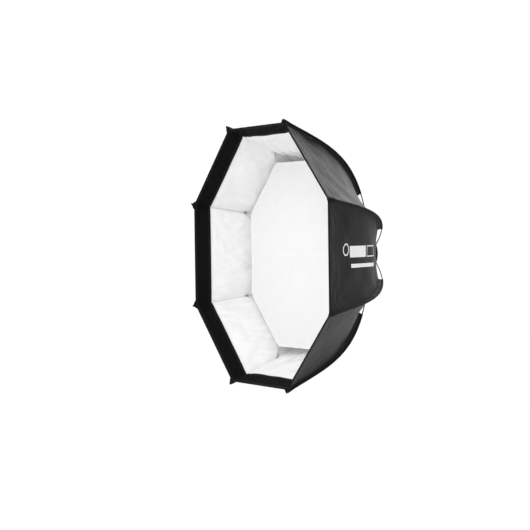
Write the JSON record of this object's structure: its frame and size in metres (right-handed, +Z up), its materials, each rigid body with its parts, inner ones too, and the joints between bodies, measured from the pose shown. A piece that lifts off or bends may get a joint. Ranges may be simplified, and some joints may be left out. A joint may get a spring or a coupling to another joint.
{
  "type": "studio softbox",
  "caption": "Eight-sided softbox with sprung rods in a turning speed ring, a recessed lip, an inner diffuser and a bayonet for a flash head.",
  "frame": {"origin": "on the softbox axis, in the plane of the hub's rear seat that meets the flash head", "axes": "+Y along the axis towards the flash head, so the front faces -Y; +Z up, with a flat side of the octagon at the top; +X to the right seen from the front"},
  "size_m": [1.1456, 0.6142, 1.1456],
  "materials": {
    "shell_nylon": "black coated nylon outside, light reflective lining inside",
    "webbing": "black woven binding tape",
    "hook_band": "black loop pile of a hook-and-loop band",
    "diffuser_cloth": "thin white translucent cloth",
    "elastic": "light grey elastic with a moulded hook",
    "rubber": "matte black",
    "black_plastic": "fine texture",
    "black_metal": "black anodised, satin",
    "hub_metal": "cast and turned, satin",
    "bare_metal": "satin plated",
    "spring_steel": "drawn spring wire"
  },
  "bodies": {
    "bayonet_hub": {"bayonet_ring": "hub_metal", "retaining_ring": "black_metal", "retainer_screw_1": "bare_metal", "retainer_screw_2": "bare_metal", "retainer_screw_3": "bare_metal"},
    "softbox": {"speed_ring": "black_metal", "rod_1": "spring_steel", "rod_2": "spring_steel", "rod_3": "spring_steel", "rod_4": "spring_steel", "rod_5": "spring_steel", "rod_6": "spring_steel", "rod_7": "spring_steel", "rod_8": "spring_steel", "rod_cap_1": "rubber", "rod_cap_2": "rubber", "rod_cap_3": "rubber", "rod_cap_4": "rubber", "rod_cap_5": "rubber", "rod_cap_6": "rubber", "rod_cap_7": "rubber", "rod_cap_8": "rubber", "rod_sleeve_1": "shell_nylon", "rod_sleeve_2": "shell_nylon", "rod_sleeve_3": "shell_nylon", "rod_sleeve_4": "shell_nylon", "rod_sleeve_5": "shell_nylon", "rod_sleeve_6": "shell_nylon", "rod_sleeve_7": "shell_nylon", "rod_sleeve_8": "shell_nylon", "corner_pocket_1": "shell_nylon", "corner_pocket_2": "shell_nylon", "corner_pocket_3": "shell_nylon", "corner_pocket_4": "shell_nylon", "corner_pocket_5": "shell_nylon", "corner_pocket_6": "shell_nylon", "corner_pocket_7": "shell_nylon", "corner_pocket_8": "shell_nylon", "outer_panel_1": "shell_nylon", "outer_panel_2": "shell_nylon", "outer_panel_3": "shell_nylon", "outer_panel_4": "shell_nylon", "outer_panel_5": "shell_nylon", "outer_panel_6": "shell_nylon", "outer_panel_7": "shell_nylon", "outer_panel_8": "shell_nylon", "diffuser_hanger_1": "elastic", "diffuser_hanger_2": "elastic", "diffuser_hanger_3": "elastic", "diffuser_hanger_4": "elastic", "diffuser_hanger_5": "elastic", "diffuser_hanger_6": "elastic", "diffuser_hanger_7": "elastic", "diffuser_hanger_8": "elastic", "front_lip": "hook_band", "rear_binding": "webbing", "inner_diffuser": "diffuser_cloth"},
    "lock_shank": {"lock_screw": "bare_metal"},
    "lock_grip": {"lock_knob": "black_plastic"}
  },
  "joints": [
    {"name": "softbox_turn", "type": "hinge", "parent": "bayonet_hub", "child": "softbox", "pos_m": [0, -0.0193, 0], "axis": [0, 1, 0], "continuous": true},
    {"name": "lock_screw_slide", "type": "slide", "parent": "softbox", "child": "lock_shank", "axis": [-1, 0, 0], "range_m": [0, 0.002]},
    {"name": "lock_knob_turn", "type": "hinge", "parent": "lock_shank", "child": "lock_grip", "pos_m": [-0.0885, -0.0193, 0], "axis": [-1, 0, 0], "range_deg": [0, 720]}
  ],
  "couplings": [
    {"joint": "lock_knob_turn", "follows": "lock_screw_slide", "rad_per_m": 6283.2}
  ]
}
